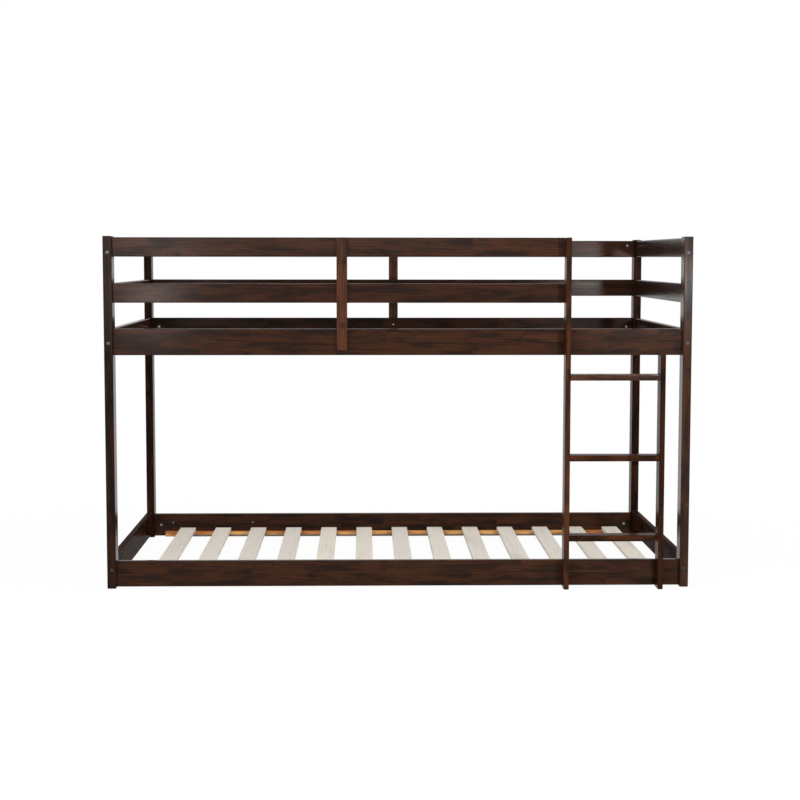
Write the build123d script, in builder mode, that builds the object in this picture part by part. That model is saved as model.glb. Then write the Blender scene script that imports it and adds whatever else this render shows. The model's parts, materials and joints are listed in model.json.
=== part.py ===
"""Low twin bunk bed of dark-stained pine boards, with a fixed vertical ladder.

Millimetres. +X runs along the bed, +Y to the rear, +Z up. The origin is on the floor, in the middle of
the whole footprint, ladder included. The ladder is at the right of the front.
"""
import os
from dataclasses import dataclass

from build123d import *

os.makedirs("parts", exist_ok=True)

# Whole frame
bed_length = 1980.0  # across the outer faces of the posts
bed_depth = 1090.0  # across the outer faces of the posts, without the ladder
post_height = 1193.0

# Posts and rails
post_width = 30.0  # along X
post_depth = 60.0  # along Y
rail_thickness = 20.0
bed_rail_height = 89.0
guard_rail_height = 65.0
lower_rail_bottom = 3.0
lower_end_lift = 16.0  # lower end rails above the lower side rails
upper_rail_bottom = 793.0
mid_guard_bottom = 969.5
post_stand_up = 4.0  # post tops above the top guard rail
board_ease = 3.0  # rounding of the long edges
post_top_ease = 2.5
foot_chamfer = 1.5

# Guard battens
batten_width = 36.0
batten_thickness = 16.0
batten_lift = 17.0  # batten foot above the upper rail's lower edge
batten_low_screw_rise = 18.0  # lowest batten screw above the upper rail's middle

# Ladder
ladder_depth = 62.0  # uprights, front to back
upright_thickness = 18.0
rung_length = 302.0  # clear width between the uprights
ladder_gap_right = 94.0  # from the short upright to the outer face of the right post
short_upright_lap = 5.0  # short upright's top above the upper rail's lower edge
upright_ease = 4.0
upright_top_ease = 3.5
rung_count = 3
rung_thickness = 20.5
rung_setback = 3.0  # rung edges behind the upright's edges
rung_ease = 3.5
first_rung_height = 174.3  # middle of the lowest rung
rung_pitch = 273.0
ladder_low_screw_rise = 9.5  # above the lower rail's middle

# Cleats, slats and straps
cleat_height = 20.0
cleat_width = 22.0
cleat_gap = 44.0  # from the post to the cleat's end
cleat_ease = 1.5
cleat_screw_count = 7
cleat_screw_end_gap = 60.0
slat_count = 13
slat_width = 62.0
slat_thickness = 14.0
slat_end_play = 3.0  # between a slat's end and the side rail
slat_corner = 4.0
slat_ease = 2.0
deck_gap_left = 103.0  # from the left posts to the first slat
deck_gap_right = 55.0  # from the last slat to the right posts
strap_width = 30.0
strap_thickness = 1.2
strap_inset = 100.0  # strap's middle from the slat's end
strap_end_gap = 6.0  # strap's end short of the outer edge of an end slat

# Connector bolts with barrel nuts
bolt_shank = 6.0
bolt_hole = 6.6
bolt_head = 12.0
bolt_head_height = 4.0
bolt_head_room = 0.5  # counterbore beyond the head, in depth and round it
bolt_head_ease = 0.8
bolt_tip = 8.0  # bolt beyond the barrel nut's axis
bolt_tip_room = 2.0
hex_key = 4.0  # across the flats
hex_depth = 2.2
nut_diameter = 10.0
nut_hole = 10.4
nut_length = 15.0
nut_from_end = 25.0  # barrel nut's axis from the rail's end
nut_floor = 2.0  # wood left behind the barrel nut's hole
nut_slot = 1.6

# Dowels
dowel_diameter = 8.0
dowel_hole = 8.3
dowel_bite = 17.0  # length in each board
dowel_room = 1.0  # hole beyond the dowel's end
dowel_edge = 18.0  # dowel from a rail's upper or lower edge
dowel_over_bolt = 10.5  # in a post, from an end rail's bolt up to the side rail's dowel that passes it
dowel_chamfer = 0.8

# Bolt heights above the middle of each rail
lower_side_bolt_rise = 0.0
lower_end_bolt_rise = 0.0
upper_side_bolt_rise = 9.0
upper_end_bolt_rise = -3.0
top_side_bolt_rise = 14.0
top_end_bolt_rise = -18.0
top_side_dowel_rise = -4.0

# Wood screws
screw_shank = 4.0
screw_hole = 4.5
screw_head = 8.0
screw_sink = 0.3  # head below the surface
screw_point = 4.0  # length of the tapered tip
screw_slot = 1.2
screw_slot_depth = 1.4
sink_angle = 90.0
batten_screw_bite = 11.0
cleat_screw_bite = 12.0
ladder_screw_bite = 38.0
pilot_room = 1.0  # pilot hole beyond the screw's tip

# Rung bolts and rung dowels
rung_bolt_bite = 45.0
rung_dowel_spread = 17.0  # from the rung's middle, front and back
rung_dowel_in_upright = 11.0
rung_dowel_in_rung = 18.0

# Strap staples
staple_wire = 1.0
staple_span = 10.0
staple_hole = 1.4
staple_bite = 8.0

# Places worked out from the sizes above
rail_setback = (post_depth - rail_thickness) / 2
ladder_stand_out = ladder_depth - rail_setback
frame_y = ladder_stand_out / 2
side_rail_y = (bed_depth - post_depth) / 2
end_rail_x = (bed_length - post_width) / 2
inner_x = bed_length / 2 - post_width
inner_y = bed_depth / 2 - post_depth
slat_room = side_rail_y - rail_thickness / 2
guard_top = post_height - post_stand_up
short_upright_x = bed_length / 2 - ladder_gap_right - upright_thickness / 2
long_upright_x = short_upright_x - rung_length - upright_thickness
front_guard_end = long_upright_x + upright_thickness / 2
ladder_back = frame_y - side_rail_y - rail_thickness / 2
ladder_y = ladder_back - ladder_depth / 2
bed_dowel_rise = bed_rail_height / 2 - dowel_edge
guard_dowel_rise = guard_rail_height / 2 - dowel_edge
bolt_seat = bolt_head_height + bolt_head_room
up = Vector(0, 0, 1)


@dataclass
class Level:
    """One height of rails: where it is, and the bolts and dowels at each rail's ends, from its middle."""

    bottom: float
    height: float
    end_lift: float  # end rails above the side rails
    side_bolts: list
    side_dowels: list
    end_bolts: list
    end_dowels: list

    @property
    def middle(self):
        return self.bottom + self.height / 2

    @property
    def end_middle(self):
        return self.middle + self.end_lift


@dataclass
class RailEnd:
    """Where a rail's end meets a post: the middle of its end face, and the directions there."""

    rail: str
    post: str
    face: Vector
    out: Vector  # from the rail into the post
    inward: Vector  # from the rail into the bed
    post_wall: float  # post thickness that the bolt crosses
    bolts: list
    dowels: list

    def at(self, rise):
        return self.face + up * rise


levels = {
    "lower": Level(
        lower_rail_bottom,
        bed_rail_height,
        end_lift=lower_end_lift,
        side_bolts=[lower_side_bolt_rise],
        side_dowels=[-bed_dowel_rise, lower_end_lift + lower_end_bolt_rise + dowel_over_bolt],
        end_bolts=[lower_end_bolt_rise],
        end_dowels=[-bed_dowel_rise, bed_dowel_rise],
    ),
    "upper": Level(
        upper_rail_bottom,
        bed_rail_height,
        end_lift=0.0,
        side_bolts=[upper_side_bolt_rise],
        side_dowels=[-bed_dowel_rise, bed_dowel_rise],
        end_bolts=[upper_end_bolt_rise],
        end_dowels=[-bed_dowel_rise, bed_dowel_rise],
    ),
    "mid_guard": Level(
        mid_guard_bottom,
        guard_rail_height,
        end_lift=0.0,
        side_bolts=[],
        side_dowels=[-guard_dowel_rise, guard_dowel_rise],
        end_bolts=[],
        end_dowels=[-guard_dowel_rise, guard_dowel_rise],
    ),
    "top_guard": Level(
        guard_top - guard_rail_height,
        guard_rail_height,
        end_lift=0.0,
        side_bolts=[top_side_bolt_rise],
        side_dowels=[top_side_dowel_rise],
        end_bolts=[top_end_bolt_rise],
        end_dowels=[guard_dowel_rise],
    ),
}
rows = {"front": -1, "rear": 1}
ends = {"left": -1, "right": 1}
rail_ends = []
side_rail_right_end = {
    (row, name): front_guard_end if row == "front" and name.endswith("guard") else inner_x
    for row in rows
    for name in levels
}


def finish(builder, name):
    """Name a finished piece and write it."""
    builder.part.label = name
    export_step(builder.part, f"parts/{name}.step")


def drill(point, out, x_dir=None):
    """Plane of a hole's mouth, whose normal points out of the wood."""
    return Plane(origin=point, x_dir=x_dir, z_dir=out)


# Every meeting of a rail and a post, from which rails, posts and fasteners take their holes
for row, y_sign in rows.items():
    for level_name, level in levels.items():
        for end, x_sign in ends.items():
            if x_sign > 0 and side_rail_right_end[row, level_name] < inner_x:
                continue
            rail_ends.append(
                RailEnd(
                    rail=f"{row}_{level_name}_rail",
                    post=f"{row}_{end}_post",
                    face=Vector(x_sign * inner_x, frame_y + y_sign * side_rail_y, level.middle),
                    out=Vector(x_sign, 0, 0),
                    inward=Vector(0, -y_sign, 0),
                    post_wall=post_width,
                    bolts=level.side_bolts,
                    dowels=level.side_dowels,
                )
            )
for end, x_sign in ends.items():
    for level_name, level in levels.items():
        for row, y_sign in rows.items():
            rail_ends.append(
                RailEnd(
                    rail=f"{end}_{level_name}_end_rail",
                    post=f"{row}_{end}_post",
                    face=Vector(x_sign * end_rail_x, frame_y + y_sign * inner_y, level.end_middle),
                    out=Vector(0, y_sign, 0),
                    inward=Vector(-x_sign, 0, 0),
                    post_wall=post_depth,
                    bolts=level.end_bolts,
                    dowels=level.end_dowels,
                )
            )


# Corner posts
def make_post(name, x, y):
    joints = [joint for joint in rail_ends if joint.post == name]
    bolt_mouths = [
        drill(joint.at(rise) + joint.out * joint.post_wall, joint.out)
        for joint in joints
        for rise in joint.bolts
    ]
    dowel_mouths = [drill(joint.at(rise), -joint.out) for joint in joints for rise in joint.dowels]
    with BuildPart() as post:
        with BuildSketch(Plane(origin=(x, y, 0))):
            RectangleRounded(post_width, post_depth, board_ease)
        extrude(amount=post_height)
        fillet(post.faces().sort_by(Axis.Z)[-1].edges(), radius=post_top_ease)
        chamfer(post.faces().sort_by(Axis.Z)[0].edges(), length=foot_chamfer)
        with Locations(*bolt_mouths):
            CounterBoreHole(bolt_hole / 2, bolt_head / 2 + bolt_head_room, bolt_seat)
        with Locations(*dowel_mouths):
            Hole(dowel_hole / 2, dowel_bite + dowel_room)
    finish(post, name)


for row, y_sign in rows.items():
    for end, x_sign in ends.items():
        make_post(f"{row}_{end}_post", x_sign * end_rail_x, frame_y + y_sign * side_rail_y)


# Screw places on the inner faces of the side rails
batten_x = {"front": (front_guard_end - inner_x) / 2, "rear": 0.0}
batten_screw_heights = {
    "upper": levels["upper"].middle + batten_low_screw_rise,
    "mid_guard": levels["mid_guard"].middle,
    "top_guard": levels["top_guard"].middle,
}
ladder_low_screw_height = levels["lower"].middle + ladder_low_screw_rise
ladder_screw_places = [
    ("lower", long_upright_x, ladder_low_screw_height),
    ("lower", short_upright_x, ladder_low_screw_height),
    ("upper", long_upright_x, levels["upper"].middle),
    ("mid_guard", long_upright_x, levels["mid_guard"].middle),
    ("top_guard", long_upright_x, levels["top_guard"].middle),
]
cleat_half = inner_x - cleat_gap
cleat_screw_reach = cleat_half - cleat_screw_end_gap
cleat_screw_x = [
    -cleat_screw_reach + 2 * cleat_screw_reach * index / (cleat_screw_count - 1)
    for index in range(cleat_screw_count)
]


def rail_inner_y(row):
    """Y of the face that a side rail shows to the bed."""
    return frame_y + rows[row] * (side_rail_y - rail_thickness / 2)


def screw_mouths(row, level_name):
    """Countersunk holes in one side rail: batten screws, and ladder screws on the front.

    The two lower rails are one and the same board, so the rear one has the ladder's holes as well,
    turned round.
    """
    out = Vector(0, -rows[row], 0)
    places = []
    if level_name in batten_screw_heights:
        places.append((batten_x[row], batten_screw_heights[level_name]))
    for screw_level, x, z in ladder_screw_places:
        if screw_level == level_name and (row == "front" or level_name == "lower"):
            places.append((-rows[row] * x, z))
    return [drill((x, rail_inner_y(row), z), out) for x, z in places]


def cleat_pilots(row, level_name):
    """Pilot holes for the cleat screws in one bed rail."""
    out = Vector(0, -rows[row], 0)
    z = levels[level_name].bottom + cleat_height / 2
    return [drill((x, rail_inner_y(row), z), out) for x in cleat_screw_x]


# Side rails and guard rails, end rails
def make_rail(name, height, section, length, sinks, pilots):
    joints = [joint for joint in rail_ends if joint.rail == name]
    bolt_mouths = [drill(joint.at(rise), joint.out) for joint in joints for rise in joint.bolts]
    dowel_mouths = [drill(joint.at(rise), joint.out) for joint in joints for rise in joint.dowels]
    nut_mouths = [
        drill(joint.at(rise) - joint.out * nut_from_end + joint.inward * rail_thickness / 2, joint.inward)
        for joint in joints
        for rise in joint.bolts
    ]
    with BuildPart() as rail:
        with BuildSketch(section):
            RectangleRounded(rail_thickness, height, board_ease)
        extrude(amount=length)
        with Locations(*dowel_mouths):
            Hole(dowel_hole / 2, dowel_bite + dowel_room)
        if bolt_mouths:
            with Locations(*bolt_mouths):
                Hole(bolt_hole / 2, nut_from_end + bolt_tip + bolt_tip_room)
            with Locations(*nut_mouths):
                Hole(nut_hole / 2, rail_thickness - nut_floor)
        if sinks:
            with Locations(*sinks):
                CounterSinkHole(screw_hole / 2, screw_head / 2, counter_sink_angle=sink_angle)
        if pilots:
            with Locations(*pilots):
                Hole(screw_hole / 2, cleat_screw_bite + pilot_room)
    finish(rail, name)


for row, y_sign in rows.items():
    for level_name, level in levels.items():
        right_end = side_rail_right_end[row, level_name]
        start = Vector(-inner_x, frame_y + y_sign * side_rail_y, level.middle)
        make_rail(
            f"{row}_{level_name}_rail",
            level.height,
            Plane(origin=start, x_dir=(0, 1, 0), z_dir=(1, 0, 0)),
            right_end + inner_x,
            sinks=screw_mouths(row, level_name),
            pilots=[] if level_name.endswith("guard") else cleat_pilots(row, level_name),
        )
for end, x_sign in ends.items():
    for level_name, level in levels.items():
        start = Vector(x_sign * end_rail_x, frame_y - inner_y, level.end_middle)
        make_rail(
            f"{end}_{level_name}_end_rail",
            level.height,
            Plane(origin=start, x_dir=(-1, 0, 0), z_dir=(0, 1, 0)),
            2 * inner_y,
            sinks=[],
            pilots=[],
        )


# Guard battens, on the outer faces of the rails
batten_bottom = upper_rail_bottom + batten_lift
for row, y_sign in rows.items():
    rail_face = frame_y + y_sign * (side_rail_y + rail_thickness / 2)
    middle = (batten_x[row], rail_face + y_sign * batten_thickness / 2, batten_bottom)
    pilots = [
        drill((batten_x[row], rail_face, z), Vector(0, -y_sign, 0))
        for z in batten_screw_heights.values()
    ]
    with BuildPart() as batten:
        with BuildSketch(Plane(origin=middle)):
            RectangleRounded(batten_width, batten_thickness, board_ease)
        extrude(amount=guard_top - batten_bottom)
        fillet(batten.faces().filter_by(Plane.XY).edges(), radius=post_top_ease)
        with Locations(*pilots):
            Hole(screw_hole / 2, batten_screw_bite + pilot_room)
    finish(batten, f"{row}_guard_batten")


# Cleats under the slats, along the inner faces of the bed rails
for row, y_sign in rows.items():
    for level_name in ("lower", "upper"):
        bottom = levels[level_name].bottom
        cleat_y = rail_inner_y(row) - y_sign * cleat_width / 2
        inner_face = rail_inner_y(row) - y_sign * cleat_width
        sinks = [
            drill((x, inner_face, bottom + cleat_height / 2), Vector(0, -y_sign, 0))
            for x in cleat_screw_x
        ]
        start = (-cleat_half, cleat_y, bottom + cleat_height / 2)
        with BuildPart() as cleat:
            with BuildSketch(Plane(origin=start, x_dir=(0, 1, 0), z_dir=(1, 0, 0))):
                RectangleRounded(cleat_width, cleat_height, cleat_ease)
            extrude(amount=2 * cleat_half)
            with Locations(*sinks):
                CounterSinkHole(screw_hole / 2, screw_head / 2, counter_sink_angle=sink_angle)
        finish(cleat, f"{row}_{level_name}_cleat")


# Ladder uprights and rungs
rung_heights = [first_rung_height + rung_pitch * index for index in range(rung_count)]
rung_width = ladder_depth - 2 * rung_setback
rung_left = long_upright_x + upright_thickness / 2
rung_right = rung_left + rung_length
rung_dowel_y = [ladder_y - rung_dowel_spread, ladder_y + rung_dowel_spread]
rung_ends = [(rung_left, Vector(-1, 0, 0)), (rung_right, Vector(1, 0, 0))]
uprights = {
    "ladder_long_upright": (long_upright_x, guard_top, Vector(-1, 0, 0)),
    "ladder_short_upright": (short_upright_x, upper_rail_bottom + short_upright_lap, Vector(1, 0, 0)),
}


def make_upright(name, x, height, out):
    """Ladder side: out is the direction of the face that the rung bolts go in at."""
    outer_x = x + out.X * upright_thickness / 2
    inner_face_x = x - out.X * upright_thickness / 2
    bolt_mouths = [drill((outer_x, ladder_y, z), out) for z in rung_heights]
    dowel_mouths = [drill((inner_face_x, y, z), -out) for z in rung_heights for y in rung_dowel_y]
    pilots = [
        drill((x, ladder_back, z), Vector(0, 1, 0)) for _, place, z in ladder_screw_places if place == x
    ]
    with BuildPart() as upright:
        with BuildSketch(Plane(origin=(x, ladder_y, 0))):
            RectangleRounded(upright_thickness, ladder_depth, upright_ease)
        extrude(amount=height)
        fillet(upright.faces().sort_by(Axis.Z)[-1].edges(), radius=upright_top_ease)
        chamfer(upright.faces().sort_by(Axis.Z)[0].edges(), length=foot_chamfer)
        with Locations(*bolt_mouths):
            CounterBoreHole(bolt_hole / 2, bolt_head / 2 + bolt_head_room, bolt_seat)
        with Locations(*dowel_mouths):
            Hole(dowel_hole / 2, rung_dowel_in_upright + dowel_room)
        with Locations(*pilots):
            Hole(screw_hole / 2, ladder_screw_bite + pilot_room)
    finish(upright, name)


for name, (x, height, out) in uprights.items():
    make_upright(name, x, height, out)

for index, z in enumerate(rung_heights, start=1):
    with BuildPart() as rung:
        with BuildSketch(Plane(origin=(rung_left, ladder_y, z), x_dir=(0, 1, 0), z_dir=(1, 0, 0))):
            RectangleRounded(rung_width, rung_thickness, rung_ease)
        extrude(amount=rung_length)
        with Locations(*[drill((x, ladder_y, z), out) for x, out in rung_ends]):
            Hole(bolt_hole / 2, rung_bolt_bite + bolt_tip_room)
        with Locations(*[drill((x, y, z), out) for x, out in rung_ends for y in rung_dowel_y]):
            Hole(dowel_hole / 2, rung_dowel_in_rung + dowel_room)
    finish(rung, f"ladder_rung_{index}")


# Slats, straps and staples of the two decks
slat_length = 2 * (slat_room - slat_end_play)
deck_left = -inner_x + deck_gap_left
deck_right = inner_x - deck_gap_right
slat_pitch = (deck_right - deck_left - slat_width) / (slat_count - 1)
slat_x = [deck_left + slat_width / 2 + slat_pitch * index for index in range(slat_count)]
strap_y = slat_length / 2 - strap_inset
strap_length = deck_right - deck_left - 2 * strap_end_gap
staple_legs = [
    (x, y) for y in (-strap_y, strap_y) for x in (-staple_span / 2, staple_span / 2)
]

with BuildPart() as slat:
    with BuildSketch():
        RectangleRounded(slat_width, slat_length, slat_corner)
    extrude(amount=slat_thickness)
    fillet(slat.faces().filter_by(Plane.XY).edges(), radius=slat_ease)
    with Locations(*[drill((x, y, 0), Vector(0, 0, -1)) for x, y in staple_legs]):
        Hole(staple_hole / 2, staple_bite)

staple_reach = strap_thickness + staple_bite - pilot_room
with BuildPart() as staple:
    with BuildSketch(Plane.XY.offset(-staple_wire)):
        SlotCenterToCenter(staple_span, staple_wire)
    extrude(amount=staple_wire)
    with BuildSketch():
        with Locations((-staple_span / 2, 0), (staple_span / 2, 0)):
            Circle(staple_wire / 2)
    extrude(amount=staple_reach)

for level_name in ("lower", "upper"):
    slat_bottom = levels[level_name].bottom + cleat_height
    strap_bottom = slat_bottom - strap_thickness
    slat_places = [Location((x, frame_y, slat_bottom)) for x in slat_x]
    if level_name == "lower":
        for index, place in enumerate(slat_places, start=1):
            with BuildPart() as single_slat:
                with Locations(place):
                    add(slat.part)
            finish(single_slat, f"lower_slat_{index:02d}")
    else:
        with BuildPart() as all_slats:
            with Locations(*slat_places):
                add(slat.part)
        finish(all_slats, "upper_slats")
    for row, y_sign in rows.items():
        y = frame_y + y_sign * strap_y
        middle = (deck_left + deck_right) / 2
        leg_mouths = [
            (x + leg - middle, 0) for x in slat_x for leg in (-staple_span / 2, staple_span / 2)
        ]
        with BuildPart() as strap:
            with BuildSketch(Plane(origin=(middle, y, strap_bottom))):
                Rectangle(strap_length, strap_width)
                with Locations(*leg_mouths):
                    Circle(staple_hole / 2, mode=Mode.SUBTRACT)
            extrude(amount=strap_thickness)
        finish(strap, f"{level_name}_{row}_strap")
    with BuildPart() as staples:
        with Locations(*[(x, frame_y + y, strap_bottom) for x in slat_x for y in (-strap_y, strap_y)]):
            add(staple.part)
    finish(staples, f"{level_name}_strap_staples")


# Fasteners: one piece of each kind, then a copy at every place
def make_bolt(reach):
    """Socket-head bolt, with Z = 0 on the wood's face and the shank down to -reach."""
    with BuildPart() as bolt:
        with BuildSketch(Plane.XY.offset(-bolt_seat)):
            Circle(bolt_head / 2)
        extrude(amount=bolt_head_height)
        fillet(bolt.faces().sort_by(Axis.Z)[-1].edges(), radius=bolt_head_ease)
        with BuildSketch(Plane.XY.offset(-reach)):
            Circle(bolt_shank / 2)
        extrude(amount=reach - bolt_seat)
        with BuildSketch(Plane.XY.offset(-bolt_head_room - hex_depth)):
            RegularPolygon(hex_key / 2, 6, major_radius=False)
        extrude(amount=hex_depth + bolt_head_room, mode=Mode.SUBTRACT)
    return bolt.part


def make_screw(reach):
    """Countersunk wood screw, with Z = 0 on the wood's face and the tip at -reach."""
    head_radius = screw_head / 2 - 2 * screw_sink
    neck = screw_sink + head_radius - screw_shank / 2
    with BuildPart() as screw:
        with BuildSketch(Plane.XZ):
            with BuildLine():
                Polyline(
                    (0, -screw_sink),
                    (head_radius, -screw_sink),
                    (screw_shank / 2, -neck),
                    (screw_shank / 2, screw_point - reach),
                    (0, -reach),
                    close=True,
                )
            make_face()
        revolve(axis=Axis.Z)
        with BuildSketch(Plane.XY.offset(-screw_sink - screw_slot_depth)):
            Rectangle(screw_shank, screw_slot)
            Rectangle(screw_slot, screw_shank)
        extrude(amount=screw_slot_depth, mode=Mode.SUBTRACT)
    return screw.part


def make_dowel(low, high):
    """Beech dowel along Z from -low to high."""
    with BuildPart() as dowel:
        with BuildSketch(Plane.XY.offset(-low)):
            Circle(dowel_diameter / 2)
        extrude(amount=low + high)
        chamfer(dowel.edges().filter_by(GeomType.CIRCLE), length=dowel_chamfer)
    return dowel.part


def make_barrel_nut():
    """Slotted cross nut, with Z = 0 on the rail's inner face and the bolt along X."""
    with BuildPart() as nut:
        with BuildSketch(Plane.XY.offset(-(rail_thickness + nut_length) / 2)):
            Circle(nut_diameter / 2)
        extrude(amount=nut_length)
        with BuildSketch(Plane.YZ.offset(-nut_diameter / 2)):
            with Locations((0, -rail_thickness / 2)):
                Circle(bolt_hole / 2)
        extrude(amount=nut_diameter, mode=Mode.SUBTRACT)
        with BuildSketch(Plane.XY.offset((nut_length - rail_thickness) / 2 - nut_slot)):
            Rectangle(nut_diameter, nut_slot)
        extrude(amount=nut_slot, mode=Mode.SUBTRACT)
    return nut.part


def group(name, piece, seats):
    """Node of like fasteners, with one copy of the piece on every seat."""
    with BuildPart() as fasteners:
        with Locations(*seats):
            add(piece)
    finish(fasteners, name)


nut_seats = []
for kind, wall in (("side", post_width), ("end", post_depth)):
    seats = []
    for joint in rail_ends:
        if joint.rail.endswith("end_rail") == (kind == "end"):
            for rise in joint.bolts:
                seats.append(drill(joint.at(rise) + joint.out * joint.post_wall, joint.out))
                nut_face = joint.at(rise) - joint.out * nut_from_end + joint.inward * rail_thickness / 2
                nut_seats.append(drill(nut_face, joint.inward, x_dir=joint.out))
    group(f"{kind}_rail_bolts", make_bolt(wall + nut_from_end + bolt_tip), seats)
group("barrel_nuts", make_barrel_nut(), nut_seats)

rail_dowel_seats = [drill(joint.at(rise), joint.out) for joint in rail_ends for rise in joint.dowels]
group("rail_dowels", make_dowel(dowel_bite, dowel_bite), rail_dowel_seats)

rung_bolt_seats = [
    drill(Vector(x, ladder_y, z) + out * upright_thickness, out)
    for x, out in rung_ends
    for z in rung_heights
]
group("rung_bolts", make_bolt(upright_thickness + rung_bolt_bite), rung_bolt_seats)
rung_dowel_seats = [
    drill((x, y, z), out) for x, out in rung_ends for z in rung_heights for y in rung_dowel_y
]
group("rung_dowels", make_dowel(rung_dowel_in_rung, rung_dowel_in_upright), rung_dowel_seats)

batten_screw_seats = [
    drill((batten_x[row], rail_inner_y(row), z), Vector(0, -y_sign, 0))
    for row, y_sign in rows.items()
    for z in batten_screw_heights.values()
]
group("batten_screws", make_screw(rail_thickness + batten_screw_bite), batten_screw_seats)

ladder_screw_seats = [
    drill((x, rail_inner_y("front"), z), Vector(0, 1, 0)) for _, x, z in ladder_screw_places
]
group("ladder_screws", make_screw(rail_thickness + ladder_screw_bite), ladder_screw_seats)

cleat_screw_seats = [
    drill(
        (x, rail_inner_y(row) - y_sign * cleat_width, levels[level_name].bottom + cleat_height / 2),
        Vector(0, -y_sign, 0),
    )
    for row, y_sign in rows.items()
    for level_name in ("lower", "upper")
    for x in cleat_screw_x
]
group("cleat_screws", make_screw(cleat_width + cleat_screw_bite), cleat_screw_seats)
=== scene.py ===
"""Looks of the bunk bed with ladder: the finish of its boards, its straps and the studio around it."""
import json
import math

import bmesh
import bpy
from bpy.props import FloatProperty, FloatVectorProperty, IntProperty, PointerProperty
from bpy.types import Operator, Panel, PropertyGroup
from mathutils import Matrix, Vector


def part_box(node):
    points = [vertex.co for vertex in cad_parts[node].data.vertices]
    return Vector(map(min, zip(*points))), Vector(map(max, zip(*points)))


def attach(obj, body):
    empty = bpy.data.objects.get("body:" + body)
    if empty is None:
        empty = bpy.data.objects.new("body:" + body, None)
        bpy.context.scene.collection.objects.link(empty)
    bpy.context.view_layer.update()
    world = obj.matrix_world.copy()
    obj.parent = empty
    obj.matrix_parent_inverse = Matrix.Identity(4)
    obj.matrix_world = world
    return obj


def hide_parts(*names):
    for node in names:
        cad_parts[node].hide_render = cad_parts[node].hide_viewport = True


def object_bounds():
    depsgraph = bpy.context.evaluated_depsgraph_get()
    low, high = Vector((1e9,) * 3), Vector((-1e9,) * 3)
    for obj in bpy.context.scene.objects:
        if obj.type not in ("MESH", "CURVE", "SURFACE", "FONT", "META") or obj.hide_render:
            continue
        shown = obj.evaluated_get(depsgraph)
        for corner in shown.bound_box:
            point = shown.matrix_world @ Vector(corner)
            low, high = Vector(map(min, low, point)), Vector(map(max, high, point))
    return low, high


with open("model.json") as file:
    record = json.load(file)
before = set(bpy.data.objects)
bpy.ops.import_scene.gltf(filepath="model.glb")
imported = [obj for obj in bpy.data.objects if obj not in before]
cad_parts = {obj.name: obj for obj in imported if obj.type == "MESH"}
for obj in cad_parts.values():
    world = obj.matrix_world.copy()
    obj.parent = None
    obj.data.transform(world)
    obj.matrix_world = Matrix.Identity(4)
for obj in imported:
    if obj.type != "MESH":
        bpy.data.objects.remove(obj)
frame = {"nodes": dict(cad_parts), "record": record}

bl_info = {
    "name": "Bunk Bed Looks",
    "version": (1, 0, 0),
    "blender": (4, 5, 0),
    "location": "View3D > Sidebar > Bunk Bed",
    "description": "Finishes, straps and studio for a packed bunk bed with ladder",
    "category": "Object",
}

CAD_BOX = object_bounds()
MIX_A, MIX_B, MIX_RESULT = 6, 7, 2  # colour sockets of a Mix node
WAVE_PERIOD = 2 * math.pi / 20  # length of one band of a Wave node at scale 1
MM = 0.001
STAVE_TRIM = 1 * MM  # planed off a board's edges, so that no face lies on a joint between staves
SLAT_COUNT = 13  # slats of one deck
RIGHT_LAMP, RIGHT_AIM = (1.18, -2.3, 1.03), (0.4, 0.0, 0.9)
LEFT_LAMP, LEFT_AIM = (-1.06, -2.3, 1.15), (-0.4, 0.0, 0.8)
FADE_START, FADE_END = 1.0, 2.6  # metres from the middle, where shadows fade into plain white
BOARD_TONES_AND_PAINTED_LIGHT = {  # board tones: some boards took the stain lighter or darker than the rest; some factors are painted shade, darkening the rear upper rail, the rear posts, the right end rails and the front left post, and painted light, brightening the rear guard batten
    "front_left_post": 0.5,
    "front_right_post": 1.08,
    "front_lower_rail": 0.97,
    "front_upper_rail": 0.86,
    "front_top_guard_rail": 0.94,
    "rear_lower_rail": 1.15,
    "rear_left_post": 0.8,
    "rear_right_post": 0.75,
    "front_guard_batten": 1.4,
    "rear_guard_batten": 1.8,
    "ladder_long_upright": 1.35,
    "ladder_short_upright": 0.7,
    "front_mid_guard_rail": 0.8,
    "rear_mid_guard_rail": 0.7,
    "rear_upper_rail": 0.48,
    "right_mid_guard_end_rail": 0.55,
    "right_top_guard_end_rail": 0.6,
    "right_upper_end_rail": 0.6,
}
BOARD_SHINE = {  # boards whose lacquer dried duller or glossier than the rest
    "front_right_post": 1.7,
    "left_lower_end_rail": 0.007,
    "right_lower_end_rail": 0.007,
    "rear_left_post": 0.2,
    "rear_right_post": 0.2,
    "ladder_long_upright": 0.2,
    "ladder_short_upright": 0.2,
    "ladder_rung_1": 0.06,
    "ladder_rung_2": 0.06,
    "ladder_rung_3": 2.2,
}


def linear(hex_colour):
    """Linear red, green and blue of an sRGB hex colour."""
    shares = [int(hex_colour[i : i + 2], 16) / 255 for i in (1, 3, 5)]
    return [s / 12.92 if s <= 0.04045 else ((s + 0.055) / 1.055) ** 2.4 for s in shares]


def colour(name, description, hex_colour):
    """Colour property whose default is an sRGB hex colour."""
    return FloatVectorProperty(
        name=name, description=description, default=linear(hex_colour), subtype="COLOR", min=0, max=1
    )


def length(name, description, default):
    """Length property in metres."""
    return FloatProperty(
        name=name, description=description, default=default, subtype="DISTANCE", unit="LENGTH"
    )


def opaque(rgb):
    return (*rgb, 1.0)


def add(tree, kind, inputs=None, **settings):
    """Add a node with its settings; each input is a value, or an output to link from."""
    made = tree.nodes.new(kind)
    for name, value in settings.items():
        setattr(made, name, value)
    for name, value in (inputs or {}).items():
        if isinstance(value, bpy.types.NodeSocket):
            tree.links.new(value, made.inputs[name])
        else:
            made.inputs[name].default_value = value
    return made


def new_material(name):
    """Empty material: its node tree and its output node."""
    material = bpy.data.materials.new(name)
    material.use_nodes = True
    material.node_tree.nodes.clear()
    return material, material.node_tree, add(material.node_tree, "ShaderNodeOutputMaterial")


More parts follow.
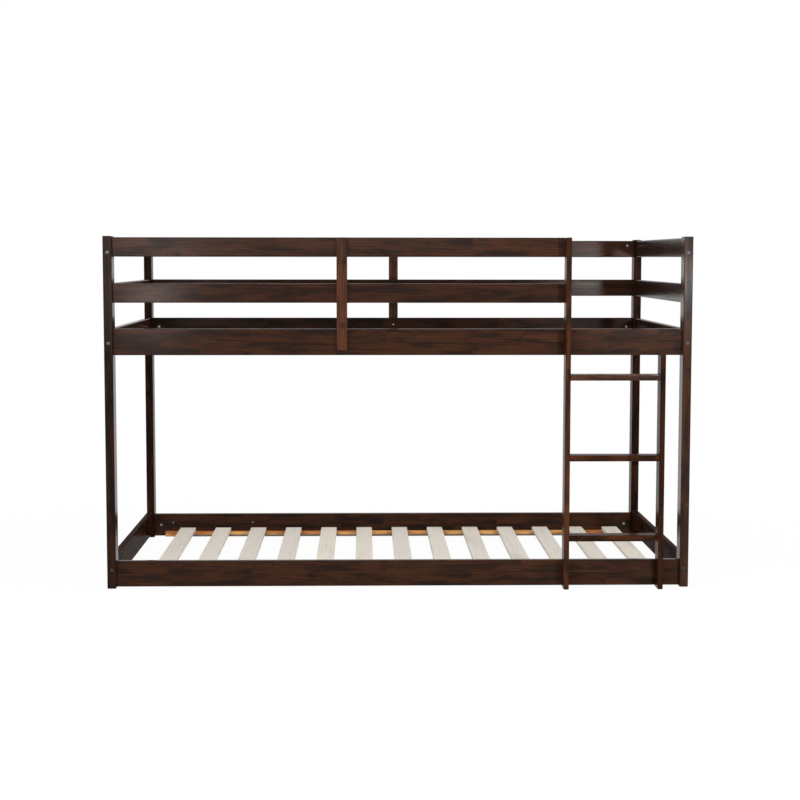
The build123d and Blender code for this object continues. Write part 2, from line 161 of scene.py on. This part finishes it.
def slot_nodes(slot):
    """Names of the CAD nodes that the record gives this material slot."""
    return [part["node"] for part in frame["record"]["subparts"] if part["material_slot"] == slot]


def slat_row():
    """Where the first slat starts along the bed, the slats' width and their pitch."""
    first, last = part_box("lower_slat_01"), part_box("lower_slat_13")
    return first[0].x, first[1].x - first[0].x, (last[0].x - first[0].x) / (SLAT_COUNT - 1)


def finish_node(node, material):
    """Give a CAD node its material."""
    data = frame["nodes"][node].data
    data.materials.clear()
    data.materials.append(material)


class FrameFinish(PropertyGroup):
    """Stain and grain of the frame and the ladder."""

    dark: colour("Dark stain", "Where soft early wood drank the most stain", "#21150f")
    brown: colour("Brown stain", "Most of the stained surface", "#372014")
    red: colour("Red stain", "Hard late wood that shows through the stain", "#4e2a18")
    knot: colour("Knot", "Small knots and pitch streaks", "#17100c")
    stave_width: length("Stave width", "Width of one stave of an edge-glued board", 0.045)
    finger_length: length("Stave length", "Length of one stave between finger joints", 0.46)
    ring_spacing: length("Ring spacing", "Distance between growth rings, coarse enough to show", 0.009)
    cloud_length: length("Cloud length", "Length of the stain's cloudy patches along the grain", 0.17)
    cloud_width: length("Cloud width", "Width of the stain's cloudy patches across the grain", 0.026)
    streak_length: length("Streak length", "Length of fine streaks along the grain", 0.24)
    streak_width: length("Streak width", "Width of fine streaks across the grain", 0.0045)
    knot_spacing: length("Knot spacing", "Mean distance between knots in the wood", 0.15)
    knot_radius: length("Knot radius", "Radius of a knot", 0.008)
    roughness: FloatProperty(name="Roughness", description="Satin lacquer", default=0.18, min=0, max=1)
    shine: FloatProperty(
        name="Shine", description="Specular level of the thin lacquer", default=0.07, min=0, max=1
    )


class DeckFinish(PropertyGroup):
    """Bare wood of the decks, and the straps under them."""

    slat: colour("Slat", "Planed pale wood", "#e1dacd")
    slat_grey: colour("Slat grey", "Weathered pale wood", "#d8d3cb")
    slat_vein: colour("Slat vein", "Grain lines of the slats", "#cfc1ab")
    cleat: colour("Cleat", "Bare pine cleats", "#d29a57")
    cleat_red: colour("Cleat red", "Resinous stretches of the cleats", "#a45f2c")
    webbing: colour("Webbing", "Dark woven straps", "#20231f")
    webbing_rib: colour("Webbing rib", "High threads of the weave", "#3a3d38")
    rib_spacing: length("Rib spacing", "Weft ribs of the straps, coarse enough to show", 0.004)
    strap_sag: length("Strap sag", "How far a strap sags between two slats", 0.002)
    strap_steps: IntProperty(
        name="Strap steps", description="Divisions of a strap per slat", default=10, min=2
    )


class Studio(PropertyGroup):
    """Camera, lamps and room."""

    camera_place: FloatVectorProperty(
        name="Camera", description="Place of the camera", default=(-0.1194, -6.0373, 1.1214), subtype="XYZ"
    )
    camera_turn: FloatProperty(
        name="Turn", description="Turn to the right", default=0.02228, subtype="ANGLE", unit="ROTATION"
    )
    camera_tilt: FloatProperty(
        name="Tilt", description="Tilt downwards", default=0.08658, subtype="ANGLE", unit="ROTATION"
    )
    camera_roll: FloatProperty(
        name="Roll", description="Roll about the view", default=0.00087, subtype="ANGLE", unit="ROTATION"
    )
    lens: FloatProperty(name="Lens", description="Focal length on a 36 mm sensor, in mm", default=73.8)
    ambient: FloatProperty(name="Ambient", description="Room light on the object", default=0.2, min=0)
    overhead: FloatProperty(
        name="Overhead", description="Large softbox above, in watts", default=122.0, min=0
    )
    front: FloatProperty(
        name="Front", description="Wide strip lamp in front, in watts", default=27.0, min=0
    )
    right: FloatProperty(
        name="Right", description="Small lamp at the right, in watts", default=18.0, min=0
    )
    left: FloatProperty(
        name="Left", description="Small lamp at the left, in watts", default=12.0, min=0
    )
    rear: FloatProperty(name="Rear", description="Soft fill lamp behind, in watts", default=50.0, min=0)
    right_glint: FloatProperty(
        name="Right glint", description="Highlight at the right, in watts", default=9.0, min=0
    )
    left_glint: FloatProperty(
        name="Left glint", description="Highlight at the left, in watts", default=10.0, min=0
    )
    floor: colour("Floor", "Pale floor", "#f4f4f4")
    floor_white: FloatProperty(
        name="Floor white", description="How far the floor looks plain white", default=0.95, min=0, max=1
    )


def board_axes(node):
    """Turn that lays a board's grain on X and its width on Y, and its low corner and sizes there."""
    low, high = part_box(node)
    size = high - low
    grain, wide, thin = sorted(range(3), key=lambda i: -size[i])
    turn = Matrix([[float(i == axis) for i in range(3)] for axis in (grain, wide, thin)])
    if turn.determinant() < 0:
        turn[2] = -turn[2]
    return turn, turn @ low, Vector((size[grain], size[wide], size[thin]))


def stained_pine(node, finish, redness):
    """Edge-glued, finger-jointed pine under a dark stain and satin lacquer: staves that differ in tone,
    cloudy stain that soft wood drank unevenly, redder growth rings and fine streaks along the grain."""
    material, tree, output = new_material(f"stained_pine_{node}")
    turn, corner, size = board_axes(node)
    # Board tone: partly the stain taking lighter or darker, partly painted shade and painted light in the
    # board's colour
    board_tone_and_painted_light = BOARD_TONES_AND_PAINTED_LIGHT.get(node, 1.0)
    shine = finish.shine * BOARD_SHINE.get(node, 1.0)
    trim = Vector((STAVE_TRIM, STAVE_TRIM, STAVE_TRIM))
    place = add(tree, "ShaderNodeTexCoord")
    board = add(
        tree,
        "ShaderNodeMapping",
        {"Vector": place.outputs["Object"], "Rotation": turn.to_euler(), "Location": trim - corner},
    ).outputs["Vector"]
    staves = max(1, round(size.y / finish.stave_width))
    stave = add(
        tree,
        "ShaderNodeTexBrick",
        {
            "Vector": board,
            "Color1": (0, 0, 0, 1),
            "Color2": (1, 1, 1, 1),
            "Scale": 1.0,
            "Mortar Size": 0.0,
            "Brick Width": finish.finger_length,
            "Row Height": (size.y + 2 * STAVE_TRIM) / staves,
        },
        offset=0.37,
    ).outputs["Color"]
    # Each stave is cut from another place in the log, so its grain starts elsewhere.
    log_step = add(
        tree,
        "ShaderNodeVectorMath",
        {0: stave, 1: (11.3, 0.31, 0.17), 2: board},
        operation="MULTIPLY_ADD",
    ).outputs["Vector"]
    seed = Vector((sum(map(ord, node)) * 0.71, 0.045, -0.06))
    log = add(tree, "ShaderNodeVectorMath", {0: log_step, 1: seed}).outputs["Vector"]
    sway_place = add(
        tree, "ShaderNodeVectorMath", {0: log, 1: (3.0, 9.0, 9.0)}, operation="MULTIPLY"
    ).outputs["Vector"]
    sway = add(
        tree,
        "ShaderNodeTexNoise",
        {"Vector": sway_place, "Scale": 1.0, "Detail": 2.0},
    ).outputs["Color"]
    grain = add(
        tree, "ShaderNodeVectorMath", {0: sway, 1: (0.0, 0.03, 0.03), 2: log}, operation="MULTIPLY_ADD"
    ).outputs["Vector"]
    rings = add(
        tree,
        "ShaderNodeTexWave",
        {"Vector": grain, "Scale": WAVE_PERIOD / finish.ring_spacing, "Distortion": 1.2, "Detail": 2.0},
        wave_type="RINGS",
        rings_direction="X",
        wave_profile="SAW",
    ).outputs["Fac"]
    cloud_scale = (1 / finish.cloud_length, 1 / finish.cloud_width, 1 / finish.cloud_width)
    cloud_place = add(
        tree, "ShaderNodeVectorMath", {0: log, 1: cloud_scale}, operation="MULTIPLY"
    ).outputs["Vector"]
    cloud = add(
        tree,
        "ShaderNodeTexNoise",
        {"Vector": cloud_place, "Scale": 1.0, "Detail": 4.0, "Roughness": 0.6, "Distortion": 0.4},
    ).outputs["Fac"]
    streak_scale = (1 / finish.streak_length, 1 / finish.streak_width, 1 / finish.streak_width)
    streak_place = add(
        tree, "ShaderNodeVectorMath", {0: log, 1: streak_scale}, operation="MULTIPLY"
    ).outputs["Vector"]
    streak = add(
        tree,
        "ShaderNodeTexNoise",
        {"Vector": streak_place, "Scale": 1.0, "Detail": 3.0},
    ).outputs["Fac"]
    depth = add(
        tree,
        "ShaderNodeMapRange",
        {"Value": cloud, "From Min": 0.36, "From Max": 0.62},
        interpolation_type="SMOOTHSTEP",
    ).outputs["Result"]
    ring_red = add(
        tree,
        "ShaderNodeMapRange",
        {"Value": rings, "From Min": 0.35, "From Max": 1.0, "To Max": 0.5 * redness},
        interpolation_type="SMOOTHSTEP",
    ).outputs["Result"]
    red_share = add(
        tree, "ShaderNodeMath", {0: ring_red, 1: depth}, operation="MULTIPLY"
    ).outputs["Value"]
    ground = add(
        tree,
        "ShaderNodeMix",
        {"Factor": depth, MIX_A: opaque(finish.dark), MIX_B: opaque(finish.brown)},
        data_type="RGBA",
    ).outputs[MIX_RESULT]
    stain = add(
        tree,
        "ShaderNodeMix",
        {"Factor": red_share, MIX_A: ground, MIX_B: opaque(finish.red)},
        data_type="RGBA",
    ).outputs[MIX_RESULT]
    knots = add(
        tree,
        "ShaderNodeTexVoronoi",
        {"Vector": grain, "Scale": 1 / finish.knot_spacing},
    ).outputs["Distance"]
    knot_edge = finish.knot_radius / finish.knot_spacing
    knot_share = add(
        tree,
        "ShaderNodeMapRange",
        {"Value": knots, "From Min": 2.2 * knot_edge, "From Max": 0.4 * knot_edge, "To Max": 0.8},
        interpolation_type="SMOOTHSTEP",
    ).outputs["Result"]
    knotted = add(
        tree,
        "ShaderNodeMix",
        {"Factor": knot_share, MIX_A: stain, MIX_B: opaque(finish.knot)},
        data_type="RGBA",
    ).outputs[MIX_RESULT]
    # Stave tone times the board tone, which carries painted shade and painted light on some boards
    stave_tone_and_painted_light = add(
        tree,
        "ShaderNodeMapRange",
        {"Value": stave, "To Min": 0.76 * board_tone_and_painted_light, "To Max": 1.2 * board_tone_and_painted_light},
    ).outputs["Result"]
    streak_tone = add(
        tree,
        "ShaderNodeMapRange",
        {"Value": streak, "From Min": 0.3, "From Max": 0.7, "To Min": 0.9, "To Max": 1.09},
    ).outputs["Result"]
    tone = add(
        tree, "ShaderNodeMath", {0: stave_tone_and_painted_light, 1: streak_tone}, operation="MULTIPLY"
    ).outputs["Value"]
    skin = add(
        tree, "ShaderNodeVectorMath", {0: knotted, "Scale": tone}, operation="SCALE"
    ).outputs["Vector"]
    roughness = add(
        tree,
        "ShaderNodeMapRange",
        {
            "Value": streak,
            "From Min": 0.3,
            "From Max": 0.7,
            "To Min": finish.roughness - 0.03,
            "To Max": finish.roughness + 0.05,
        },
    ).outputs["Result"]
    relief = add(
        tree, "ShaderNodeMath", {0: rings, 1: 0.4, 2: streak}, operation="MULTIPLY_ADD"
    ).outputs["Value"]
    bump = add(
        tree, "ShaderNodeBump", {"Height": relief, "Strength": 0.25, "Distance": 0.3 * MM}
    ).outputs["Normal"]
    wood = add(
        tree,
        "ShaderNodeBsdfPrincipled",
        {"Base Color": skin, "Roughness": roughness, "Normal": bump, "Specular IOR Level": shine},
    )
    tree.links.new(wood.outputs["BSDF"], output.inputs["Surface"])
    return material


def bare_slat(finish):
    """Planed, unfinished pale slats: dry and matt, each a bit warmer or greyer, with long faint grain."""
    material, tree, output = new_material("bare_slat_pine")
    place = add(tree, "ShaderNodeTexCoord").outputs["Object"]
    start, _, pitch = slat_row()
    along = add(tree, "ShaderNodeSeparateXYZ", {"Vector": place}).outputs["X"]
    number = add(
        tree,
        "ShaderNodeMath",
        {0: along, 1: 1 / pitch, 2: -start / pitch + 0.2},
        operation="MULTIPLY_ADD",
    ).outputs["Value"]
    slat_number = add(tree, "ShaderNodeMath", {0: number}, operation="FLOOR").outputs["Value"]
    chance = add(
        tree, "ShaderNodeTexWhiteNoise", {"W": slat_number}, noise_dimensions="1D"
    ).outputs["Value"]
    shifted = add(
        tree,
        "ShaderNodeVectorMath",
        {0: chance, 1: (0.0, 9.0, 3.0), 2: place},
        operation="MULTIPLY_ADD",
    ).outputs["Vector"]
    grain_scale = (1 / (7 * MM), 1 / (260 * MM), 1 / (7 * MM))
    grain_place = add(
        tree, "ShaderNodeVectorMath", {0: shifted, 1: grain_scale}, operation="MULTIPLY"
    ).outputs["Vector"]
    grain = add(
        tree,
        "ShaderNodeTexNoise",
        {"Vector": grain_place, "Scale": 1.0, "Detail": 4.0, "Distortion": 0.3},
    ).outputs["Fac"]
    fuzz_scale = (1 / (12 * MM), 1 / (28 * MM), 1 / (12 * MM))
    fuzz_place = add(
        tree, "ShaderNodeVectorMath", {0: shifted, 1: fuzz_scale}, operation="MULTIPLY"
    ).outputs["Vector"]
    fuzz = add(
        tree,
        "ShaderNodeTexNoise",
        {"Vector": fuzz_place, "Scale": 1.0, "Detail": 5.0, "Roughness": 0.7},
    ).outputs["Fac"]
    plank = add(
        tree,
        "ShaderNodeMix",
        {"Factor": chance, MIX_A: opaque(finish.slat), MIX_B: opaque(finish.slat_grey)},
        data_type="RGBA",
    ).outputs[MIX_RESULT]
    vein = add(
        tree,
        "ShaderNodeMapRange",
        {"Value": grain, "From Min": 0.52, "From Max": 0.72, "To Max": 0.6},
        interpolation_type="SMOOTHSTEP",
    ).outputs["Result"]
    veined = add(
        tree,
        "ShaderNodeMix",
        {"Factor": vein, MIX_A: plank, MIX_B: opaque(finish.slat_vein)},
        data_type="RGBA",
    ).outputs[MIX_RESULT]
    tone = add(
        tree,
        "ShaderNodeMapRange",
        {"Value": fuzz, "From Min": 0.3, "From Max": 0.7, "To Min": 0.93, "To Max": 1.05},
    ).outputs["Result"]
    skin = add(
        tree, "ShaderNodeVectorMath", {0: veined, "Scale": tone}, operation="SCALE"
    ).outputs["Vector"]
    bump = add(
        tree, "ShaderNodeBump", {"Height": fuzz, "Strength": 0.3, "Distance": 0.4 * MM}
    ).outputs["Normal"]
    roughness = add(
        tree, "ShaderNodeMapRange", {"Value": grain, "To Min": 0.6, "To Max": 0.8}
    ).outputs["Result"]
    wood = add(
        tree,
        "ShaderNodeBsdfPrincipled",
        {"Base Color": skin, "Roughness": roughness, "Normal": bump, "Specular IOR Level": 0.3},
    )
    tree.links.new(wood.outputs["BSDF"], output.inputs["Surface"])
    return material


def bare_cleat(finish):
    """Bare pine battens under the slats: tan, with long redder resinous stretches and dark grain lines."""
    material, tree, output = new_material("bare_cleat_pine")
    place = add(tree, "ShaderNodeTexCoord").outputs["Object"]
    patch_scale = (1 / (240 * MM), 1 / (40 * MM), 1 / (40 * MM))
    patch_place = add(
        tree, "ShaderNodeVectorMath", {0: place, 1: patch_scale}, operation="MULTIPLY"
    ).outputs["Vector"]
    patch = add(
        tree,
        "ShaderNodeTexNoise",
        {"Vector": patch_place, "Scale": 1.0, "Detail": 3.0},
    ).outputs["Fac"]
    line_scale = (1 / (180 * MM), 1 / (4 * MM), 1 / (4 * MM))
    line_place = add(
        tree, "ShaderNodeVectorMath", {0: place, 1: line_scale}, operation="MULTIPLY"
    ).outputs["Vector"]
    line = add(
        tree,
        "ShaderNodeTexNoise",
        {"Vector": line_place, "Scale": 1.0, "Detail": 3.0, "Distortion": 0.5},
    ).outputs["Fac"]
    resin = add(
        tree,
        "ShaderNodeMapRange",
        {"Value": patch, "From Min": 0.49, "From Max": 0.64},
        interpolation_type="SMOOTHSTEP",
    ).outputs["Result"]
    ground = add(
        tree,
        "ShaderNodeMix",
        {"Factor": resin, MIX_A: opaque(finish.cleat), MIX_B: opaque(finish.cleat_red)},
        data_type="RGBA",
    ).outputs[MIX_RESULT]
    tone = add(
        tree,
        "ShaderNodeMapRange",
        {"Value": line, "From Min": 0.3, "From Max": 0.7, "To Min": 0.8, "To Max": 1.15},
    ).outputs["Result"]
    skin = add(
        tree, "ShaderNodeVectorMath", {0: ground, "Scale": tone}, operation="SCALE"
    ).outputs["Vector"]
    roughness = add(
        tree, "ShaderNodeMapRange", {"Value": line, "To Min": 0.5, "To Max": 0.7}
    ).outputs["Result"]
    bump = add(
        tree, "ShaderNodeBump", {"Height": line, "Strength": 0.3, "Distance": 0.3 * MM}
    ).outputs["Normal"]
    wood = add(
        tree,
        "ShaderNodeBsdfPrincipled",
        {"Base Color": skin, "Roughness": roughness, "Normal": bump, "Specular IOR Level": 0.35},
    )
    tree.links.new(wood.outputs["BSDF"], output.inputs["Surface"])
    return material


def beech_dowel():
    """Plain beech dowels: pale pinkish wood with short dark flecks."""
    material, tree, output = new_material("beech_dowel")
    place = add(tree, "ShaderNodeTexCoord").outputs["Object"]
    flecks = add(
        tree, "ShaderNodeTexNoise", {"Vector": place, "Scale": 1 / (3 * MM), "Detail": 3.0}
    ).outputs["Fac"]
    skin = add(
        tree,
        "ShaderNodeMix",
        {"Factor": flecks, MIX_A: opaque(linear("#d8b48a")), MIX_B: opaque(linear("#b98e62"))},
        data_type="RGBA",
    ).outputs[MIX_RESULT]
    roughness = add(
        tree, "ShaderNodeMapRange", {"Value": flecks, "To Min": 0.5, "To Max": 0.7}
    ).outputs["Result"]
    wood = add(tree, "ShaderNodeBsdfPrincipled", {"Base Color": skin, "Roughness": roughness})
    tree.links.new(wood.outputs["BSDF"], output.inputs["Surface"])
    return material


def zinc_coat(name, bright, dull, grain, metallic=1.0):
    """Zinc on steel, plated or as baked flakes: grey metal with a slightly cloudy passivated skin."""
    material, tree, output = new_material(name)
    place = add(tree, "ShaderNodeTexCoord").outputs["Object"]
    cloud = add(
        tree, "ShaderNodeTexNoise", {"Vector": place, "Scale": 1 / grain, "Detail": 4.0}
    ).outputs["Fac"]
    skin = add(
        tree,
        "ShaderNodeMix",
        {"Factor": cloud, MIX_A: opaque(linear(bright)), MIX_B: opaque(linear(dull))},
        data_type="RGBA",
    ).outputs[MIX_RESULT]
    roughness = add(
        tree, "ShaderNodeMapRange", {"Value": cloud, "To Min": 0.25, "To Max": 0.5}
    ).outputs["Result"]
    bump = add(
        tree, "ShaderNodeBump", {"Height": cloud, "Strength": 0.15, "Distance": 0.1 * MM}
    ).outputs["Normal"]
    metal = add(
        tree,
        "ShaderNodeBsdfPrincipled",
        {"Base Color": skin, "Roughness": roughness, "Metallic": metallic, "Normal": bump},
    )
    tree.links.new(metal.outputs["BSDF"], output.inputs["Surface"])
    return material


def woven_strap(finish, strap_length, strap_width):
    """Dark woven polypropylene webbing: weft ribs across the strap, warp threads between, a dull sheen."""
    material, tree, output = new_material("woven_strap")
    weave = add(tree, "ShaderNodeUVMap", uv_map="weave").outputs["UV"]
    metres = add(
        tree,
        "ShaderNodeVectorMath",
        {0: weave, 1: (strap_length, strap_width, 0.0)},
        operation="MULTIPLY",
    ).outputs["Vector"]
    rib = add(
        tree,
        "ShaderNodeTexWave",
        {"Vector": metres, "Scale": WAVE_PERIOD / finish.rib_spacing, "Distortion": 0.3},
        bands_direction="X",
    ).outputs["Fac"]
    warp = add(
        tree,
        "ShaderNodeTexWave",
        {"Vector": metres, "Scale": WAVE_PERIOD / (0.75 * finish.rib_spacing), "Distortion": 0.2},
        bands_direction="Y",
    ).outputs["Fac"]
    height = add(tree, "ShaderNodeMath", {0: rib, 1: warp}, operation="MULTIPLY").outputs["Value"]
    skin = add(
        tree,
        "ShaderNodeMix",
        {"Factor": height, MIX_A: opaque(finish.webbing), MIX_B: opaque(finish.webbing_rib)},
        data_type="RGBA",
    ).outputs[MIX_RESULT]
    bump = add(
        tree, "ShaderNodeBump", {"Height": height, "Strength": 0.6, "Distance": 0.5 * MM}
    ).outputs["Normal"]
    roughness = add(
        tree, "ShaderNodeMapRange", {"Value": height, "To Min": 0.75, "To Max": 0.55}
    ).outputs["Result"]
    cloth = add(
        tree,
        "ShaderNodeBsdfPrincipled",
        {"Base Color": skin, "Roughness": roughness, "Normal": bump, "Sheen Weight": 0.2},
    )
    tree.links.new(cloth.outputs["BSDF"], output.inputs["Surface"])
    return material


class BUNKBED_OT_stain_frame(Operator):
    """Stain the posts, rails, battens and ladder"""

    bl_idname = "bunk_bed.stain_frame"
    bl_label = "Stain Frame"

    def execute(self, context):
        finish = context.scene.bunk_bed_frame
        for node in slot_nodes("stained_pine"):
            redder = node.startswith("ladder") or node.endswith("batten")
            finish_node(node, stained_pine(node, finish, 1.3 if redder else 0.9))
        return {"FINISHED"}


class BUNKBED_OT_finish_decks(Operator):
    """Finish the bare slats and cleats"""

    bl_idname = "bunk_bed.finish_decks"
    bl_label = "Finish Decks"

    def execute(self, context):
        finish = context.scene.bunk_bed_deck
        finishes = {"bare_slat_pine": bare_slat(finish), "bare_cleat_pine": bare_cleat(finish)}
        for slot, material in finishes.items():
            for node in slot_nodes(slot):
                finish_node(node, material)
        return {"FINISHED"}


class BUNKBED_OT_finish_hardware(Operator):
    """Finish the bolts, nuts, screws, staples and dowels"""

    bl_idname = "bunk_bed.finish_hardware"
    bl_label = "Finish Hardware"

    def execute(self, context):
        finishes = {
            "zinc_steel": zinc_coat("zinc_plated_steel", "#4d4f50", "#373839", 4 * MM),
            "screw_steel": zinc_coat("screw_steel", "#9a978f", "#6f6d67", 2 * MM),
            "staple_wire": zinc_coat("galvanised_wire", "#cfd2d4", "#a0a4a8", 1 * MM),
            "beech": beech_dowel(),
        }
        for slot, material in finishes.items():
            for node in slot_nodes(slot):
                finish_node(node, material)
        finish_node("barrel_nuts", zinc_coat("zinc_flake_coat", "#b4b4b2", "#929290", 4 * MM, 0.2))
        return {"FINISHED"}


class BUNKBED_OT_weave_straps(Operator):
    """Weave the straps that join the slats"""

    bl_idname = "bunk_bed.weave_straps"
    bl_label = "Weave Straps"

    def execute(self, context):
        finish = context.scene.bunk_bed_deck
        start, slat_width, pitch = slat_row()
        material = None
        for node in slot_nodes("strap_webbing"):
            low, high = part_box(node)
            size = high - low
            material = material or woven_strap(finish, size.x, size.y)
            mesh = bpy.data.meshes.new(node.replace("strap", "webbing"))
            shape = bmesh.new()
            shape.loops.layers.uv.new("weave")
            bmesh.ops.create_grid(
                shape, x_segments=SLAT_COUNT * finish.strap_steps, y_segments=2, size=0.5, calc_uvs=True
            )
            middle = (low + high) / 2
            bmesh.ops.transform(
                shape,
                matrix=Matrix.Translation(middle) @ Matrix.Diagonal((size.x, size.y, 1, 1)),
                verts=shape.verts,
            )
            for vertex in shape.verts:
                beyond = (vertex.co.x - start) % pitch - slat_width
                if beyond > 0:
                    vertex.co.z -= finish.strap_sag * math.sin(math.pi * beyond / (pitch - slat_width)) ** 2
            shape.to_mesh(mesh)
            shape.free()
            mesh.materials.append(material)
            strap = bpy.data.objects.new(mesh.name, mesh)
            context.scene.collection.objects.link(strap)
            thick = strap.modifiers.new("Thickness", "SOLIDIFY")
            thick.thickness = size.z
            thick.offset = 0
            for polygon in mesh.polygons:
                polygon.use_smooth = True
            body = "lower_deck" if node.startswith("lower") else "upper_deck"
            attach(strap, body)
            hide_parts(node)
        return {"FINISHED"}


def softbox(context, name, place, target, width, height, power):
    """Add a rectangular lamp that faces a target."""
    data = bpy.data.lights.new(name, "AREA")
    data.shape = "RECTANGLE"
    data.size = width
    data.size_y = height
    data.energy = power
    lamp = bpy.data.objects.new(name, data)
    lamp.location = place
    lamp.rotation_euler = (Vector(target) - Vector(place)).to_track_quat("-Z", "Y").to_euler()
    lamp.visible_camera = False
    context.scene.collection.objects.link(lamp)
    return lamp


def seen_directly(tree):
    """1 for rays from the camera, in reflections and through glass, else 0."""
    path = add(tree, "ShaderNodeLightPath")
    shiny = add(
        tree,
        "ShaderNodeMath",
        {0: path.outputs["Is Camera Ray"], 1: path.outputs["Is Glossy Ray"]},
        operation="MAXIMUM",
    )
    return add(
        tree,
        "ShaderNodeMath",
        {0: shiny.outputs["Value"], 1: path.outputs["Is Transmission Ray"]},
        operation="MAXIMUM",
    ).outputs["Value"]


class BUNKBED_OT_set_stage(Operator):
    """Set up the floor, the white room, the lamps and the camera"""

    bl_idname = "bunk_bed.set_stage"
    bl_label = "Set Stage"

    def execute(self, context):
        studio = context.scene.bunk_bed_studio
        self.lay_floor(context, studio)
        self.light_room(context, studio)
        self.place_camera(context, studio)
        context.scene.view_settings.view_transform = "Standard"
        return {"FINISHED"}

    def lay_floor(self, context, studio):
        mesh = bpy.data.meshes.new("floor")
        shape = bmesh.new()
        bmesh.ops.create_grid(shape, x_segments=1, y_segments=1, size=30)
        shape.to_mesh(mesh)
        shape.free()
        material, tree, output = new_material("pale_floor")
        place = add(tree, "ShaderNodeTexCoord").outputs["Object"]
        away = add(tree, "ShaderNodeVectorMath", {0: place}, operation="LENGTH").outputs["Value"]
        share = add(
            tree,
            "ShaderNodeMapRange",
            {"Value": away, "From Min": FADE_START, "From Max": FADE_END, "To Min": studio.floor_white},
            interpolation_type="SMOOTHSTEP",
        ).outputs["Result"]
        white = add(
            tree, "ShaderNodeMath", {0: seen_directly(tree), 1: share}, operation="MULTIPLY"
        ).outputs["Value"]
        paper = add(tree, "ShaderNodeBsdfDiffuse", {"Color": opaque(studio.floor)}).outputs["BSDF"]
        glow = add(tree, "ShaderNodeEmission", {"Strength": 1.0}).outputs["Emission"]
        surface = add(tree, "ShaderNodeMixShader", {0: white, 1: paper, 2: glow}).outputs["Shader"]
        tree.links.new(surface, output.inputs["Surface"])
        mesh.materials.append(material)
        floor = bpy.data.objects.new("floor", mesh)
        floor.location.z = CAD_BOX[0].z - 0.5 * MM
        context.scene.collection.objects.link(floor)

    def light_room(self, context, studio):
        world = bpy.data.worlds.new("white_room")
        world.use_nodes = True
        tree = world.node_tree
        tree.nodes.clear()
        output = add(tree, "ShaderNodeOutputWorld")
        strength = add(
            tree,
            "ShaderNodeMapRange",
            {"Value": seen_directly(tree), "To Min": studio.ambient, "To Max": 1.0},
        ).outputs["Result"]
        room = add(tree, "ShaderNodeBackground", {"Color": (1, 1, 1, 1), "Strength": strength})
        tree.links.new(room.outputs["Background"], output.inputs["Surface"])
        context.scene.world = world
        centre = (CAD_BOX[0] + CAD_BOX[1]) / 2
        softbox(context, "overhead_softbox", (0.3, 0.1, 3.6), centre, 4.5, 3.5, studio.overhead)
        softbox(context, "front_strip", (-0.35, -3.2, 1.56), centre, 2.0, 0.4, studio.front)
        # The fill and one of the two lamps at each side are polarised, so that they give no highlight.
        softbox(context, "rear_fill", (0.2, 3.9, 0.9), centre, 3.0, 1.0, studio.rear).visible_glossy = False
        softbox(context, "right_lamp", RIGHT_LAMP, RIGHT_AIM, 0.1, 0.1, studio.right).visible_glossy = False
        softbox(context, "left_lamp", LEFT_LAMP, LEFT_AIM, 0.3, 0.3, studio.left).visible_glossy = False
        softbox(context, "right_glint", RIGHT_LAMP, RIGHT_AIM, 0.06, 0.06, studio.right_glint)
        softbox(context, "left_glint", LEFT_LAMP, LEFT_AIM, 0.15, 0.7, studio.left_glint)

    def place_camera(self, context, studio):
        data = bpy.data.cameras.new("camera")
        data.sensor_width = 36.0
        data.lens = studio.lens
        data.dof.use_dof = False
        camera = bpy.data.objects.new("camera", data)
        camera.location = studio.camera_place
        turn = Matrix.Rotation(-studio.camera_turn, 3, "Z")
        tilt = Matrix.Rotation(math.pi / 2 - studio.camera_tilt, 3, "X")
        camera.rotation_euler = (turn @ tilt @ Matrix.Rotation(studio.camera_roll, 3, "Z")).to_euler()
        context.scene.collection.objects.link(camera)
        context.scene.camera = camera


class BUNKBED_PT_looks(Panel):
    """Finishes and stage of the bunk bed"""

    bl_idname = "BUNKBED_PT_looks"
    bl_label = "Bunk Bed"
    bl_space_type = "VIEW_3D"
    bl_region_type = "UI"
    bl_category = "Bunk Bed"

    def draw(self, context):
        for operator in OPERATORS:
            self.layout.operator(operator.bl_idname)
        for group in GROUPS:
            holder = getattr(context.scene, group)
            for name in holder.__annotations__:
                self.layout.prop(holder, name)


OPERATORS = (
    BUNKBED_OT_stain_frame,
    BUNKBED_OT_finish_decks,
    BUNKBED_OT_finish_hardware,
    BUNKBED_OT_weave_straps,
    BUNKBED_OT_set_stage,
)
GROUPS = {"bunk_bed_frame": FrameFinish, "bunk_bed_deck": DeckFinish, "bunk_bed_studio": Studio}
CLASSES = (*GROUPS.values(), *OPERATORS, BUNKBED_PT_looks)


def register():
    for cls in CLASSES:
        bpy.utils.register_class(cls)
    for name, group in GROUPS.items():
        setattr(bpy.types.Scene, name, PointerProperty(type=group))


def unregister():
    for name in GROUPS:
        delattr(bpy.types.Scene, name)
    for cls in reversed(CLASSES):
        bpy.utils.unregister_class(cls)


def main():
    register()
    bpy.ops.bunk_bed.stain_frame()
    bpy.ops.bunk_bed.finish_decks()
    bpy.ops.bunk_bed.finish_hardware()
    bpy.ops.bunk_bed.weave_straps()
    bpy.ops.bunk_bed.set_stage()


if __name__ == "__main__":
    main()
